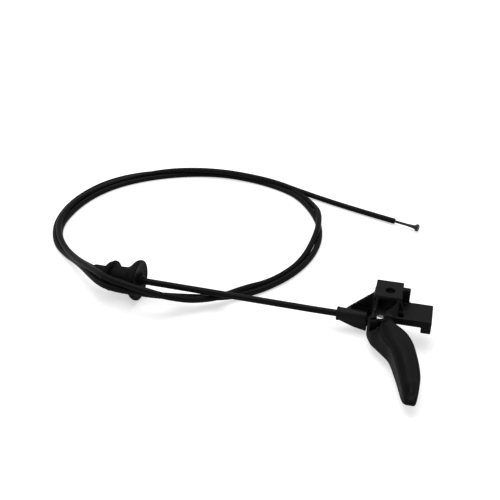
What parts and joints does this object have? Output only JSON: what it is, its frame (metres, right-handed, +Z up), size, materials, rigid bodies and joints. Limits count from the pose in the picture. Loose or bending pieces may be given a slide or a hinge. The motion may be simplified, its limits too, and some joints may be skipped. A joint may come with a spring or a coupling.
{
  "type": "hood release cable",
  "caption": "Lever-operated control cable: a bracket with a pivoting pull handle, a sheathed wire through a rubber bulkhead grommet, coiled casing and a flat-headed latch nipple",
  "frame": {"origin": "centre of the fixing hole, on the top face of the bracket's screw tab", "axes": "+Z up along the fixing hole, +X along the conduit boss towards the clip block, +Y towards the bracket's back wall"},
  "size_m": [0.3349, 0.3029, 0.035],
  "materials": {
    "bracket_nylon": "moulded black nylon, semi-matte",
    "lever_nylon": "moulded black nylon, satin",
    "pin_steel": "plain steel, turned end",
    "casing_sheath": "extruded black sheath, slight sheen",
    "grommet_rubber": "moulded black rubber",
    "wire_coat": "dark coated wire",
    "nipple_metal": "black coated metal"
  },
  "bodies": {
    "base": {"bracket": "bracket_nylon", "pivot_pin": "pin_steel", "casing_lead": "casing_sheath", "casing_coil": "casing_sheath", "casing_tail": "casing_sheath", "grommet": "grommet_rubber"},
    "lever": {"lever": "lever_nylon"},
    "lever_wire": {"lever_wire": "wire_coat", "barrel_nipple": "nipple_metal"},
    "latch_wire": {"latch_wire": "wire_coat", "end_nipple": "nipple_metal"}
  },
  "joints": [
    {"name": "lever_pivot", "type": "hinge", "parent": "base", "child": "lever", "pos_m": [-0.00435, -0.0174, -0.022], "axis": [0, 0, -1], "range_deg": [0, 38]},
    {"name": "lever_wire_slide", "type": "slide", "parent": "base", "child": "lever_wire", "axis": [1, 0, 0], "range_m": [0, 0.0087]},
    {"name": "latch_wire_slide", "type": "slide", "parent": "base", "child": "latch_wire", "axis": [-0.941, 0.3382, -0.0147], "range_m": [0, 0.0087]}
  ],
  "couplings": [
    {"joint": "lever_wire_slide", "follows": "lever_pivot", "m_per_rad": 0.013},
    {"joint": "latch_wire_slide", "follows": "lever_pivot", "m_per_rad": 0.013}
  ]
}
